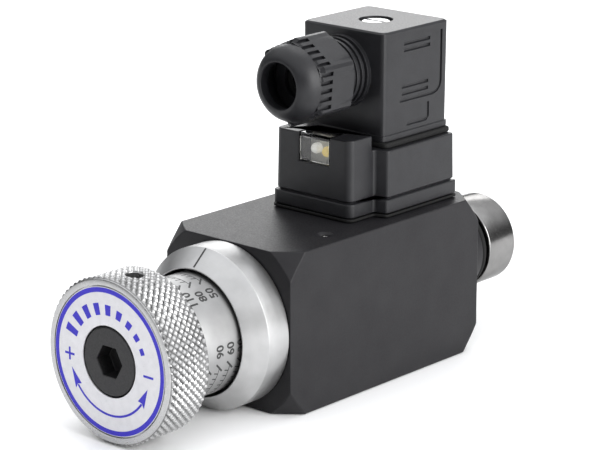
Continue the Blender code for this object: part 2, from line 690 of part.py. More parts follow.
def plug_screw(mat, parent):
    head, top, tip = 93.8, 95.1, 52.5
    profile = [(tip, 0.0), (tip, 1.1), (tip + 0.4, 1.5), (head, 1.5), (head, 4.3), (top - 0.4, 4.3),
               (top, 3.8), (top, 0.0)]
    piece = make("plug_screw", lathe(profile, SMALL, along_z(0.0, PLUG_MID_Y)), mat, parent)
    combine(piece, box(-5.0, 5.0, PLUG_MID_Y - 0.5, PLUG_MID_Y + 0.5, top - 0.7, top + 1))


# ---------------------------------------------------------------- gland

def gland_grommet(mat, parent):
    profile = [(-9.4, 3.7), (-9.4, 5.6), (-8.8, 6.2), (-1.5, 6.2), (-1.5, 3.7)]
    make("gland_grommet", lathe(profile, 24, along_y(0.0, GLAND_Z)), mat, parent)


def gland_washer(mat, parent):
    profile = [(-11.0, 5.4), (-11.0, 8.6), (-10.0, 8.6), (-10.0, 5.4)]
    make("gland_washer", lathe(profile, 24, along_y(0.0, GLAND_Z)), mat, parent)


def gland_nut(mat, parent):
    outer = [(NUT_BACK, 11.6), (NUT_BACK - 0.6, GLAND_CORNER_R), (-13.5, GLAND_CORNER_R), (-14.2, 10.95),
             (-14.6, 10.7), (-16.4, 10.2), (-17.8, 9.4), (-18.9, 8.4), (NUT_FRONT, 7.2)]
    bore = [(NUT_FRONT, NUT_BORE_R), (-16.8, NUT_BORE_R), (-10.9, 9.25), (NUT_BACK, 9.25)]
    turned = along_y(0.0, GLAND_Z) @ Matrix.Rotation(math.radians(GLAND_TWIST), 4, "Z")
    shape = lathe(outer + bore, 36, turned, hexagon(GLAND_AF))
    piece = make("gland_nut", shape, mat, parent)
    slots = []
    for facet in range(6):
        turn = math.radians(60.0 * facet + GLAND_TWIST)
        for step in range(-2, 3):
            slot = box(step * 2.3 - 0.57, step * 2.3 + 0.57, -14.5, -10.1, GLAND_AF / 2 - 0.85, GLAND_AF)
            frame = Matrix.Translation((0.0, 0.0, GLAND_Z)) @ Matrix.Rotation(turn + math.pi / 6, 4, "Y")
            bmesh.ops.transform(slot, matrix=frame, verts=slot.verts)
            slots.append(slot)
    combine(piece, join(*slots))


# ---------------------------------------------------------------- assembly

def build():
    clear_scene()
    black = material("anodised_black", (0.035, 0.035, 0.037), 0.42, 0.6)
    silver = material("silver_aluminium", (0.72, 0.72, 0.73), 0.38, 1.0)
    steel = material("bright_steel", (0.62, 0.61, 0.6), 0.2, 1.0)
    brass = material("brass", (0.75, 0.58, 0.3), 0.3, 1.0)
    plastic = material("black_plastic", (0.03, 0.03, 0.032), 0.4)
    dark_steel = material("black_steel", (0.03, 0.03, 0.03), 0.35, 0.8)
    rubber = material("black_rubber", (0.015, 0.015, 0.015), 0.7)
    label = material("label_white", (0.85, 0.85, 0.86), 0.35)
    grey = material("grey_plastic", (0.3, 0.31, 0.32), 0.5)
    board = material("circuit_board", (0.3, 0.31, 0.3), 0.5)
    clear = material("clear_plastic", (0.9, 0.9, 0.88), 0.1, 0.0, 0.35)
    amber = material("amber_lamp", (0.9, 0.72, 0.25), 0.2)

    valve_body(black)
    top_set_screw(dark_steel)
    index_ring(silver)
    guide_bush(brass)
    bush_circlip(dark_steel)
    piston_bush(steel)
    seals(rubber)
    port_neck(black)
    port_fitting(steel)
    microswitch(plastic, brass)
    switch_leads(rubber)
    flange_gasket(rubber)
    connector_base(plastic)
    base_screws(steel)
    pin_carrier(grey)
    contact_pins(brass)
    lamps(board, label, amber)
    led_lens(clear)

    carriage = group("carriage_axis", z=AXIS_Z, y=-17.95)
    front_spring_seat(steel, carriage)
    thrust_ball(steel, carriage)
    main_spring(steel, carriage)
    adjuster = group("adjuster_axis", z=AXIS_Z, y=KNOB_BACK)
    knob(silver, adjuster)
    knob_label(label, adjuster)
    knob_screw(dark_steel, adjuster)
    knob_set_screw(dark_steel, adjuster)
    scale_drum(silver, adjuster)
    adjusting_spindle(steel, adjuster)

    stroke = group("piston_axis", z=AXIS_Z, y=21.9)
    piston(steel, stroke)
    spring_plate(steel, stroke)
    button = group("plunger_axis", y=PLUNGER_Y, z=31.55)
    microswitch_plunger(label, button)

    plug = group("plug_axis", y=PLUG_MID_Y, z=BASE_TOP)
    plug_housing(plastic, plug)
    plug_gasket(rubber, plug)
    plug_insert(grey, plug)
    terminal_screws(brass, plug)
    gland_grommet(rubber, plug)
    screw = group("plug_screw_axis", y=PLUG_MID_Y, z=PLUG_TOP)
    screw_washer(rubber, screw)
    plug_screw(steel, screw)
    gland = group("gland_axis", y=NUT_BACK, z=GLAND_Z)
    gland_washer(plastic, gland)
    gland_nut(plastic, gland)


build()
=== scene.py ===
"""Looks of the adjustable valve: fine surfaces, printed marks, materials, light and camera.

Lengths are in millimetres until a mesh is made, and MM turns them into metres. Places and radii are
read from the fixed frame. Angles around the valve's axis are in degrees from straight up, growing
clockwise as seen from the knob.
"""
import json
import math

import bmesh
import bpy
from mathutils import Matrix, Vector


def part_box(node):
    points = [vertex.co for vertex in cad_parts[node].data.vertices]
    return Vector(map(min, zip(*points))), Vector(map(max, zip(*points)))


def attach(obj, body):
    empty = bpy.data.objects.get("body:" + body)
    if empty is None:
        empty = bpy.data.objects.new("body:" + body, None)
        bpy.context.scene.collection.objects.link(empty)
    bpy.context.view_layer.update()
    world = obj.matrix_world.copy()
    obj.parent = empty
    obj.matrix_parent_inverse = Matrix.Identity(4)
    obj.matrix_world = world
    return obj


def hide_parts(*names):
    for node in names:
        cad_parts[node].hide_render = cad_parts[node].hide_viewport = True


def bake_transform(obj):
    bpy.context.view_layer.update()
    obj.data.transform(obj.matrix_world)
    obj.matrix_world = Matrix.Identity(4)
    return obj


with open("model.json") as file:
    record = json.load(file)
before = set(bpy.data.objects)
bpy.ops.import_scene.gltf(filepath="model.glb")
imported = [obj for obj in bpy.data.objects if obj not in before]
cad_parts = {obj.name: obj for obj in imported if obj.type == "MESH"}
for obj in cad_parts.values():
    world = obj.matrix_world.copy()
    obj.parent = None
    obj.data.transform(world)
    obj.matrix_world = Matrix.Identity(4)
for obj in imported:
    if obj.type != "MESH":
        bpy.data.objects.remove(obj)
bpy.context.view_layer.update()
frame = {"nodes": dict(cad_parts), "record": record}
NODES = frame["nodes"]
NODE_BODY = {node: body for body, nodes in frame["record"]["behaviour"]["bodies"].items() for node in nodes}
NODE_SLOT = {part["node"]: part["material_slot"] for part in frame["record"]["subparts"]}
MM = 0.001

# camera
TARGET = (-0.0005, -0.0102, 0.04285)
DISTANCE = 0.7019
AZIMUTH = 41.46           # from -Y towards +X
ELEVATION = 15.96
LENS = 153.96

# knurl
KNURL_AROUND = 68         # diamonds round the knob
KNURL_PITCH = 2.1         # diamond length along the axis
KNURL_DEPTH = 0.5
KNURL_FLAT = 0.72         # share of the height where a diamond's top is cut off
KNURL_STEPS = 5           # mesh steps in one diamond
KNURL_LAND = 0.75         # plain rim at either end of the knurl

# knob
CLEARANCE = 0.3           # between the knob's bores and what sits in them
LABEL_SEAT_DEPTH = 0.8
HEAD_SEAT_Y = -78.2       # where the central screw's recess meets the spindle's bore
SET_SCREW_R = 1.6
SET_SCREW_RECESS_R = 2.3

# label
PRINT_LIFT = 0.03         # height of printed marks above their face
MARK_R = 14.4             # radius of the signs and of the turning arrow
BORDER_R = (18.35, 19.62)
BAR_COUNT = 9             # bars that grow towards the plus sign
BAR_R = 12.4              # radius of the bars' inner ends
BAR_SPREAD = 66.0         # degrees from the top to the first and the last bar

# drum scale
ROW_PITCH = 3.95
ROW_START = 105.0         # a row's first long tick
ROW_END = 377.0
ROW_MIDDLE = (ROW_START + ROW_END) / 2
FIRST_ROW_Y = -52.35      # place of the first row's start
ROW_LABELS = (("30", "40", "50"), ("60", "70", "80"), ("90", "100", "110"), ("", "130", "140"))
DIGIT_HEIGHT = 2.5
TICK_COUNT = 20           # steps between two long ticks
PAINT_DEPTH = 0.05        # how far painted marks reach into the metal

# gland nut
NUT_AF = 21.9             # across flats
NUT_CORNER_R = 12.35      # the hexagon's corners are turned down to this radius
NUT_TWIST = 5.0           # degrees the nut is turned at rest
SLOT_STEP = 2.3
SLOT_WIDTH = 1.15
SLOT_FLOOR = 10.1         # distance of a slot's bottom from the nut's axis

SPRING_GAP = 1.35         # room for the spring plate's stroke behind the main spring
GASKET_GROW = 0.22        # how much thicker than its node the plug gasket is, above and below

# softboxes: name, place, width, height and power, in metres and watts
SOFTBOXES = (
    ("top_softbox", (-0.2, 0.35, 1.0), 0.7, 0.7, 2.4),
    ("right_softbox", (1.15, 0.1, 0.4), 0.9, 0.9, 18.0),
    ("rear_softbox", (-0.75, 0.95, 0.45), 0.8, 0.4, 4.5),
)
LIGHT_TARGET = (0.0, 0.0, 0.04)
# how the sky's strength rises with the height of the direction looked in
SKY = (("From Min", 0.18), ("From Max", 0.8), ("To Min", 0.1), ("To Max", 1.5))
FLOOR_HALF = 3000.0
FLOOR_DROP = 0.2          # the floor lies this far under the valve

SIDES = 144               # steps round a turned part


# ---------------------------------------------------------------- frame

def span(node):
    """Lowest and highest corner of a CAD node, in millimetres."""
    low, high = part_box(node)
    return low / MM, high / MM


def middle(node):
    low, high = span(node)
    return (low + high) / 2


AXIS_Z = middle("scale_drum").z
GLAND_Z = middle("gland_washer").z


def radius_of(node):
    """Radius of a node that is turned round an axis along Y."""
    low, high = span(node)
    return (high.x - low.x) / 2


# ---------------------------------------------------------------- meshes

def piece(name, bm, mat, body, replaced=(), smooth=30.0):
    """Turns a bmesh in millimetres into a named piece that rides on a body, if one is given."""
    bmesh.ops.recalc_face_normals(bm, faces=bm.faces)
    bmesh.ops.scale(bm, verts=bm.verts, vec=(MM, MM, MM))
    mesh = bpy.data.meshes.new(name)
    bm.to_mesh(mesh)
    bm.free()
    mesh.shade_smooth()
    mesh.set_sharp_from_angle(angle=math.radians(smooth))
    mesh.materials.append(mat)
    obj = bpy.data.objects.new(name, mesh)
    bpy.context.collection.objects.link(obj)
    if body:
        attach(obj, body)
    if replaced:
        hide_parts(*replaced)
    return obj


def refine(node, mat, width=0.3, segments=2, limit=32.0):
    """Shows a copy of a CAD node with its flat faces joined and its edges rounded."""
    bm = bmesh.new()
    bm.from_mesh(NODES[node].data)
    bmesh.ops.remove_doubles(bm, verts=bm.verts, dist=0.002 * MM)
    bmesh.ops.dissolve_limit(bm, angle_limit=math.radians(0.7), verts=bm.verts, edges=bm.edges)
    bmesh.ops.scale(bm, verts=bm.verts, vec=(1 / MM, 1 / MM, 1 / MM))
    obj = piece(node + "_fine", bm, mat, NODE_BODY[node], [node], smooth=180.0)
    bevel = obj.modifiers.new("Bevel", "BEVEL")
    bevel.width = width * MM
    bevel.segments = segments
    bevel.limit_method = "ANGLE"
    bevel.angle_limit = math.radians(limit)
    bevel.use_clamp_overlap = False
    weight_normals(obj)
    return obj


def weight_normals(obj):
    """Lets the large flat faces set the shading, so only the rounded edges between them curve."""
    weighted = obj.modifiers.new("Normals", "WEIGHTED_NORMAL")
    weighted.weight = 80
    weighted.keep_sharp = True


def soften(points, radius, steps=3):
    """Rounds the corners of a closed outline, each by at most what its edges leave room for."""
    result = []
    count = len(points)
    for i in range(count):
        corner = Vector(points[i])
        before = Vector(points[i - 1]) - corner
        after = Vector(points[(i + 1) % count]) - corner
        half = before.angle(after) / 2
        if half > math.radians(85.0):
            result.append(tuple(corner))
            continue
        reach = min(radius / math.tan(half), 0.45 * before.length, 0.45 * after.length)
        start, end = corner + before.normalized() * reach, corner + after.normalized() * reach
        for k in range(steps + 1):
            t = k / steps
            point = start * (1 - t) ** 2 + corner * 2 * t * (1 - t) + end * t ** 2
            result.append(tuple(point))
    return result


def along_y(z=AXIS_Z):
    """Places a shape turned round Z on an axis along Y at height z."""
    return Matrix.Translation((0.0, 0.0, z)) @ Matrix.Rotation(-math.pi / 2, 4, "X")


def bridge(bm, rings, closed=True):
    """Joins rings of points in turn; a ring of one point is a tip."""
    pairs = list(zip(rings, rings[1:])) + ([(rings[-1], rings[0])] if closed else [])
    for low, high in pairs:
        count = max(len(low), len(high))
        for i in range(count):
            j = (i + 1) % count
            if len(low) == 1:
                bm.faces.new((low[0], high[i], high[j]))
            elif len(high) == 1:
                bm.faces.new((low[i], low[j], high[0]))
            else:
                bm.faces.new((low[i], low[j], high[j], high[i]))


def turned(profile, matrix=None, sides=SIDES):
    """Turns (along, radius) points round an axis, which is the valve's own unless a matrix is given."""
    matrix = along_y() if matrix is None else matrix
    bm = bmesh.new()
    rings = []
    for along, radius in profile:
        if radius <= 0.0:
            rings.append([bm.verts.new(matrix @ Vector((0.0, 0.0, along)))])
            continue
        ring = []
        for i in range(sides):
            turn = 2.0 * math.pi * i / sides
            point = Vector((radius * math.cos(turn), radius * math.sin(turn), along))
            ring.append(bm.verts.new(matrix @ point))
        rings.append(ring)
    bridge(bm, rings, closed=all(radius > 0.0 for along, radius in profile))
    return bm


def plate(outline, low, high):
    """A flat solid in u and v between two heights w."""
    bm = bmesh.new()
    rings = [[bm.verts.new((u, v, w)) for u, v in outline] for w in (low, high)]
    bridge(bm, rings, closed=False)
    bm.faces.new(rings[0])
    bm.faces.new(rings[1])
    return bm


def stroke(path, width, low, high):
    """A ribbon of the given width along a path of (u, v) points, between two heights w."""
    bm = bmesh.new()
    rings = []
    for i, (u, v) in enumerate(path):
        ahead = Vector(path[min(i + 1, len(path) - 1)]) - Vector(path[max(i - 1, 0)])
        side = Vector((-ahead.y, ahead.x)).normalized() * width / 2
        corners = ((low, side), (high, side), (high, -side), (low, -side))
        rings.append([bm.verts.new((u + off.x, v + off.y, w)) for w, off in corners])
    bridge(bm, rings, closed=False)
    bm.faces.new(rings[0])
    bm.faces.new(rings[-1])
    return bm


def digits(text, height, low, high):
    """A number as a flat solid, centred on the origin."""
    curve = bpy.data.curves.new("digits", "FONT")
    curve.body = text
    curve.size = height / 0.7
    curve.align_x = "CENTER"
    curve.align_y = "CENTER"
    curve.resolution_u = 4
    curve.extrude = (high - low) / 2
    curve.offset = 0.09
    obj = bpy.data.objects.new("digits", curve)
    bpy.context.collection.objects.link(obj)
    bpy.context.view_layer.update()
    mesh = bpy.data.meshes.new_from_object(obj)
    bm = bmesh.new()
    bm.from_mesh(mesh)
    bmesh.ops.remove_doubles(bm, verts=bm.verts, dist=0.001)
    for k in range(-10, 11):
        # cut into strips, so that the number bends with the drum
        bmesh.ops.bisect_plane(bm, geom=bm.verts[:] + bm.edges[:] + bm.faces[:], dist=0.0001,
                               plane_co=(0.4 * k + 0.013, 0.0, 0.0), plane_no=(1.0, 0.0, 0.0))
    bmesh.ops.translate(bm, verts=bm.verts, vec=(0.0, 0.0, (low + high) / 2))
    bpy.data.objects.remove(obj)
    bpy.data.curves.remove(curve)
    bpy.data.meshes.remove(mesh)
    return bm


def merged(parts):
    """One mesh of all the parts, which are used up."""
    whole = bmesh.new()
    for part in parts:
        mesh = bpy.data.meshes.new("part")
        part.to_mesh(mesh)
        part.free()
        whole.from_mesh(mesh)
        bpy.data.meshes.remove(mesh)
    return whole


def wrap_on_drum(bm, radius, turn, y):
    """Lays a flat shape on the drum: u runs anticlockwise, v towards the knob and w outwards."""
    for vert in bm.verts:
        u, v, w = vert.co
        angle = math.radians(turn) - u / radius
        r = radius + w
        vert.co = (r * math.sin(angle), y - v, AXIS_Z + r * math.cos(angle))
    return bm


def lay_on_face(bm, y):
    """Lays a flat shape on a face that looks towards -Y: u becomes X, v becomes Z, w stands out."""
    for vert in bm.verts:
        u, v, w = vert.co
        vert.co = (u, y - w, AXIS_Z + v)
    return bm


def cut(obj, bm):
    """Cuts bm out of a piece for good."""
    bmesh.ops.recalc_face_normals(bm, faces=bm.faces)
    bmesh.ops.scale(bm, verts=bm.verts, vec=(MM, MM, MM))
    mesh = bpy.data.meshes.new("cutter")
    bm.to_mesh(mesh)
    bm.free()
    tool = bpy.data.objects.new("cutter", mesh)
    bpy.context.collection.objects.link(tool)
    mod = obj.modifiers.new("Cut", "BOOLEAN")
    mod.object = tool
    mod.solver = "EXACT"
    bpy.context.view_layer.update()
    result = bpy.data.meshes.new_from_object(obj.evaluated_get(bpy.context.evaluated_depsgraph_get()))
    obj.modifiers.remove(mod)
    old = obj.data
    obj.data = result
    bpy.data.objects.remove(tool)
    bpy.data.meshes.remove(mesh)
    bpy.data.meshes.remove(old)
    return obj


# ---------------------------------------------------------------- materials

class Maker:
    """A material's node tree, with short calls for the patterns used here."""

    def __init__(self, name, metallic=0.0, roughness=0.5, **sockets):
        self.mat = bpy.data.materials.new(name)
        self.mat.use_nodes = True
        self.tree = self.mat.node_tree
        self.shader = self.tree.nodes["Principled BSDF"]
        self.set("Metallic", metallic)
        self.set("Roughness", roughness)
        for socket, value in sockets.items():
            self.set(socket.replace("_", " "), value)
        self.place = self.node("ShaderNodeTexCoord").outputs["Object"]

    def set(self, socket, value):
        self.shader.inputs[socket].default_value = value

    def node(self, kind, **settings):
        node = self.tree.nodes.new(kind)
        for key, value in settings.items():
            setattr(node, key, value)
        return node

    def link(self, source, target):
        self.tree.links.new(source, target)

    def noise(self, size, detail=3.0, stretch=None, place=None):
        """Noise whose features are about size millimetres across."""
        node = self.node("ShaderNodeTexNoise")
        node.inputs["Scale"].default_value = 1.0 / (size * MM)
        node.inputs["Detail"].default_value = detail
        place = self.place if place is None else place
        if stretch:
            mapping = self.node("ShaderNodeMapping")
            mapping.inputs["Scale"].default_value = stretch
            self.link(place, mapping.inputs["Vector"])
            place = mapping.outputs["Vector"]
        self.link(place, node.inputs["Vector"])
        return node.outputs["Fac"]

    def remap(self, value, from_low, from_high, to_low, to_high):
        node = self.node("ShaderNodeMapRange")
        for socket, number in zip(("From Min", "From Max", "To Min", "To Max"),
                                  (from_low, from_high, to_low, to_high)):
            node.inputs[socket].default_value = number
        self.link(value, node.inputs["Value"])
        return node.outputs["Result"]

    def colours(self, value, *stops):
        """A colour ramp through (position, (r, g, b)) stops."""
        ramp = self.node("ShaderNodeValToRGB").color_ramp
        while len(ramp.elements) < len(stops):
            ramp.elements.new(0.5)
        for element, (position, colour) in zip(ramp.elements, stops):
            element.position = position
            element.color = (*colour, 1.0)
        node = self.tree.nodes[-1]
        self.link(value, node.inputs["Fac"])
        return node.outputs["Color"]

    def colour(self, value, *stops):
        self.link(self.colours(value, *stops), self.shader.inputs["Base Color"])
        return self

    def rough(self, value, low, high):
        self.link(self.remap(value, 0.3, 0.7, low, high), self.shader.inputs["Roughness"])
        return self

    def bump(self, value, depth, strength=1.0):
        """Adds relief of about depth millimetres, on top of any there already."""
        node = self.node("ShaderNodeBump")
        node.inputs["Strength"].default_value = strength
        node.inputs["Distance"].default_value = depth * MM
        self.link(value, node.inputs["Height"])
        normal = self.shader.inputs["Normal"]
        if normal.links:
            self.link(normal.links[0].from_socket, node.inputs["Normal"])
        self.link(node.outputs["Normal"], normal)
        return self

    def rings(self):
        """The distance from the valve's axis as X and the place along it as Y, for tool marks and for the
        painted shade in the knurl's grooves.
        """
        shift = self.node("ShaderNodeVectorMath", operation="SUBTRACT")
        shift.inputs[1].default_value = (0.0, 0.0, AXIS_Z * MM)
        self.link(self.place, shift.inputs[0])
        split = self.node("ShaderNodeSeparateXYZ")
        self.link(shift.outputs["Vector"], split.inputs["Vector"])
        across = self.node("ShaderNodeCombineXYZ")
        self.link(split.outputs["X"], across.inputs["X"])
        self.link(split.outputs["Z"], across.inputs["Z"])
        length = self.node("ShaderNodeVectorMath", operation="LENGTH")
        self.link(across.outputs["Vector"], length.inputs[0])
        out = self.node("ShaderNodeCombineXYZ")
        self.link(length.outputs["Value"], out.inputs["X"])
        self.link(split.outputs["Y"], out.inputs["Y"])
        return out.outputs["Vector"]


def grey(value, warm=0.0):
    """A grey, a little redder and less blue where warm is above 0."""
    return (value * (1 + warm), value, value * (1 - warm))


def anodised_black():
    m = Maker("black_anodised", roughness=0.45, Specular_IOR_Level=0.22)
    cloud = m.noise(9.0, 4.0)
    grain = m.noise(0.35, 2.0)
    m.colour(cloud, (0.3, (0.010, 0.0095, 0.011)), (0.7, (0.015, 0.0145, 0.016)))
    m.rough(grain, 0.40, 0.54)
    m.bump(grain, 0.012)
    m.bump(m.noise(2.5, 2.0), 0.02, 0.4)
    return m.mat


def silver(name="silver_anodised", low=0.42, high=0.51, rough=(0.36, 0.48)):
    m = Maker(name, metallic=1.0, roughness=0.35, Specular_Tint=(0.7, 0.7, 0.7, 1.0))
    marks = m.noise(0.22, 3.0, place=m.rings())
    cloud = m.noise(7.0, 3.0)
    m.colour(cloud, (0.3, grey(low)), (0.7, grey(high)))
    m.rough(marks, *rough)
    m.bump(marks, 0.006)
    m.bump(m.noise(0.3, 2.0), 0.006)
    return m.mat


def knurled_silver_with_painted_shade(radius):
    """Silver with painted shade darkening the knurl's grooves and a painted highlight lightening the
    diamonds' tops; the plain rim below the grooves stays light.
    """
    m = Maker("silver_knurled_painted_shade", metallic=1.0, roughness=0.3)
    split = m.node("ShaderNodeSeparateXYZ")
    m.link(m.rings(), split.inputs["Vector"])
    # painted shade and highlight: the colour follows the depth in the knurl, darkest in the grooves and
    # lightest on the diamonds' tops
    height = m.remap(split.outputs["X"], (radius - 1.2 * KNURL_DEPTH) * MM, radius * MM, 0.0, 1.0)
    m.colour(height, (0.0, grey(0.46)), (0.10, grey(0.46)), (0.17, grey(0.15)),
             (0.5, grey(0.32)), (0.9, grey(0.57)))
    m.rough(m.noise(0.8, 2.0), 0.24, 0.38)
    m.bump(m.noise(0.15, 2.0), 0.006)
    return m.mat


def bright_steel():
    m = Maker("bright_steel", metallic=1.0, roughness=0.2, Specular_Tint=(0.55, 0.55, 0.55, 1.0))
    marks = m.noise(0.16, 3.0, place=m.rings())
    m.colour(m.noise(5.0, 2.0), (0.3, grey(0.22, 0.015)), (0.7, grey(0.29, 0.015)))
    m.rough(marks, 0.14, 0.28)
    m.bump(marks, 0.004)
    return m.mat


def plain_steel():
    m = Maker("zinc_steel", metallic=1.0, roughness=0.25)
    grain = m.noise(0.6, 3.0)
    m.colour(grain, (0.3, grey(0.40)), (0.7, grey(0.50)))
    m.rough(grain, 0.18, 0.32)
    m.bump(grain, 0.004)
    return m.mat


def black_oxide():
    m = Maker("black_oxide", metallic=0.6, roughness=0.36)
    grain = m.noise(0.5, 3.0)
    m.colour(grain, (0.3, (0.020, 0.020, 0.021)), (0.7, (0.034, 0.033, 0.034)))
    m.rough(grain, 0.30, 0.44)
    m.bump(grain, 0.006)
    return m.mat


def black_plastic():
    m = Maker("black_moulded", roughness=0.42, Specular_IOR_Level=0.34)
    spark = m.noise(0.22, 2.0)
    m.colour(m.noise(4.0, 3.0), (0.3, (0.010, 0.010, 0.0115)), (0.7, (0.014, 0.014, 0.016)))
    m.rough(m.noise(0.5, 2.0), 0.36, 0.48)
    m.bump(spark, 0.010)
    return m.mat


def soft_rubber():
    m = Maker("black_rubber", roughness=0.7, Specular_IOR_Level=0.2)
    grain = m.noise(0.4, 3.0)
    m.colour(grain, (0.3, grey(0.007)), (0.7, grey(0.012)))
    m.rough(grain, 0.6, 0.8)
    m.bump(grain, 0.01)
    return m.mat


def grey_plastic():
    m = Maker("grey_moulded", roughness=0.5)
    grain = m.noise(0.3, 2.0)
    m.colour(m.noise(3.0, 3.0), (0.3, grey(0.26)), (0.7, grey(0.33)))
    m.rough(grain, 0.42, 0.58)
    m.bump(grain, 0.008)
    return m.mat


def brass():
    m = Maker("plain_brass", metallic=1.0, roughness=0.3)
    grain = m.noise(0.5, 3.0)
    m.colour(grain, (0.3, (0.66, 0.49, 0.24)), (0.7, (0.78, 0.61, 0.33)))
    m.rough(grain, 0.24, 0.38)
    m.bump(grain, 0.004)
    return m.mat


def label_foil():
    m = Maker("label_foil", roughness=0.32, Coat_Weight=0.3, Coat_Roughness=0.12)
    grain = m.noise(0.4, 3.0)
    m.colour(m.noise(2.0, 4.0), (0.3, (0.64, 0.635, 0.66)), (0.7, (0.70, 0.695, 0.72)))
    m.rough(grain, 0.26, 0.38)
    m.bump(grain, 0.003)
    return m.mat


def blue_ink():
    m = Maker("blue_ink", roughness=0.4, Specular_IOR_Level=0.3)
    grain = m.noise(0.5, 3.0)
    m.colour(grain, (0.3, (0.022, 0.014, 0.42)), (0.7, (0.035, 0.024, 0.52)))
    m.rough(grain, 0.28, 0.42)
    return m.mat


def black_paint():
    m = Maker("black_paint", roughness=0.5)
    grain = m.noise(0.3, 2.0)
    m.colour(grain, (0.3, grey(0.012)), (0.7, grey(0.03)))
    m.rough(grain, 0.42, 0.6)
    return m.mat


def clear_lens():
    m = Maker("clear_moulded", roughness=0.04, Transmission_Weight=1.0, IOR=1.45)
    m.colour(m.noise(2.0, 2.0), (0.3, (0.93, 0.93, 0.90)), (0.7, (0.97, 0.97, 0.95)))
    m.bump(m.noise(1.2, 2.0), 0.01)
    return m.mat


def lamp(name, colour, glow):
    m = Maker(name, roughness=0.2, Emission_Color=(*colour, 1.0), Emission_Strength=glow)
    low = tuple(0.85 * c for c in colour)
    m.colour(m.noise(0.8, 2.0), (0.3, low), (0.7, colour))
    return m.mat


def circuit_board():
    m = Maker("circuit_board", roughness=0.45)
    tracks = m.noise(1.2, 1.0, stretch=(1.0, 1.0, 0.3))
    m.colour(tracks, (0.48, (0.30, 0.29, 0.28)), (0.52, (0.55, 0.54, 0.50)))
    m.bump(tracks, 0.02)
    return m.mat


def floor_finish():
    m = Maker("pale_floor", roughness=0.6)
    m.colour(m.noise(300.0, 2.0), (0.3, grey(0.92)), (0.7, grey(0.94)))
    return m.mat


# ---------------------------------------------------------------- knob

def knurl_height(a, b):
    """Height of the diamond pattern, 0 in the grooves and 1 on the tops; grooves are at whole a or b."""
    rise = min(1.0 - 2.0 * abs(a % 1.0 - 0.5), 1.0 - 2.0 * abs(b % 1.0 - 0.5), KNURL_FLAT)
    return rise / KNURL_FLAT


def knurled_ring(row, step, radius):
    """The radius of each mesh step round one ring of the knurl."""
    v = row * step / KNURL_PITCH
    floor_r = radius - KNURL_DEPTH
    turns = [i / KNURL_STEPS for i in range(KNURL_AROUND * KNURL_STEPS)]
    return [floor_r + KNURL_DEPTH * knurl_height(u + v, u - v) for u in turns]


def knob_mesh(face, back, radius):
    """The knob as rings round its axis, knurled between two plain lands."""
    sides = KNURL_AROUND * KNURL_STEPS
    recess = radius_of("knob_label") + CLEARANCE
    bore = radius_of("adjusting_spindle") + CLEARANCE
    head = radius_of("knob_screw") + CLEARANCE
    seat, floor_r = face + LABEL_SEAT_DEPTH, radius - KNURL_DEPTH
    start, end = face + KNURL_LAND, back - KNURL_LAND
    rows = int((back - face - 2 * KNURL_LAND) / KNURL_PITCH * KNURL_STEPS)
    step = (end - start) / rows
    front = [(HEAD_SEAT_Y, bore), (HEAD_SEAT_Y, head), (seat, head), (seat, recess),
             (face + 0.1, recess), (face, recess + 0.12), (face, floor_r - 0.45),
             (face + 0.12, floor_r - 0.15), (face + 0.35, floor_r)]
    rear_end = [(back - 0.3, floor_r), (back - 0.05, floor_r - 0.3), (back, floor_r - 0.5), (back, bore)]
    levels = [(y, [r] * sides) for y, r in front]
    levels += [(start + row * step, knurled_ring(row, step, radius)) for row in range(rows + 1)]
    levels += [(y, [r] * sides) for y, r in rear_end]
    first, last = len(front), len(front) + rows
    matrix = along_y()
    bm = bmesh.new()
    rings = []
    for y, radii in levels:
        ring = []
        for i, r in enumerate(radii):
            turn = 2.0 * math.pi * i / sides
            ring.append(bm.verts.new(matrix @ Vector((r * math.cos(turn), r * math.sin(turn), y))))
        rings.append(ring)
    for n in range(len(rings)):
        a, b = rings[n], rings[(n + 1) % len(rings)]
        for i in range(sides):
            j = (i + 1) % sides
            if not first <= n < last:
                bm.faces.new((a[i], a[j], b[j], b[i]))
                continue
            # the diagonal follows the nearer groove
            u, v = (i + 0.5) / KNURL_STEPS, (n - first + 0.5) * step / KNURL_PITCH
            if abs((u + v + 0.5) % 1.0 - 0.5) < abs((u - v + 0.5) % 1.0 - 0.5):
                bm.faces.new((a[i], a[j], b[i]))
                bm.faces.new((a[j], b[j], b[i]))
            else:
                bm.faces.new((a[i], a[j], b[j]))
                bm.faces.new((a[i], b[j], b[i]))
    return bm


def set_screw_hole(radius):
    """The knob's threaded hole, with a wider recess and a chamfer, aimed at the set screw."""
    screw = middle("knob_set_screw")
    turn = math.atan2(screw.x, screw.z - AXIS_Z)
    socket = Matrix.Translation((0.0, screw.y, AXIS_Z)) @ Matrix.Rotation(turn, 4, "Y")
    inner, ledge = 6.5, 18.0
    hole = [(inner, 0.0), (inner, SET_SCREW_R), (ledge, SET_SCREW_R), (ledge, SET_SCREW_RECESS_R),
            (radius - 0.7, SET_SCREW_RECESS_R), (radius, SET_SCREW_RECESS_R + 0.45),
            (radius + 2, SET_SCREW_RECESS_R + 0.45), (radius + 2, 0.0)]
    return turned(hole, socket, 40)


def knob(mat_knurl, mat_label, mat_ink, mat_screw):
    low, high = span("knob")
    radius = radius_of("knob")
    sharp = 24.0              # degrees between two faces that shade as an edge
    body = piece("knob_knurled", knob_mesh(low.y, high.y, radius), mat_knurl, "adjuster",
                 ["knob"], smooth=sharp)
    cut(body, set_screw_hole(radius))
    body.data.set_sharp_from_angle(angle=math.radians(sharp))

    label_face, label_r, thick = span("knob_label")[0].y, radius_of("knob_label"), 0.4
    hole_r = radius_of("knob_screw") + CLEARANCE
    disc = [(label_face, hole_r), (label_face, label_r), (label_face + thick, label_r),
            (label_face + thick, hole_r)]
    piece("label_disc", turned(soften(disc, 0.06)), mat_label, "adjuster", ["knob_label"])
    label_print(mat_ink, label_face)

    refine("knob_screw", mat_screw, 0.25, 3)
    refine("knob_set_screw", mat_screw, 0.1)


def polar(radius, turn):
    return radius * math.sin(math.radians(turn)), radius * math.cos(math.radians(turn))


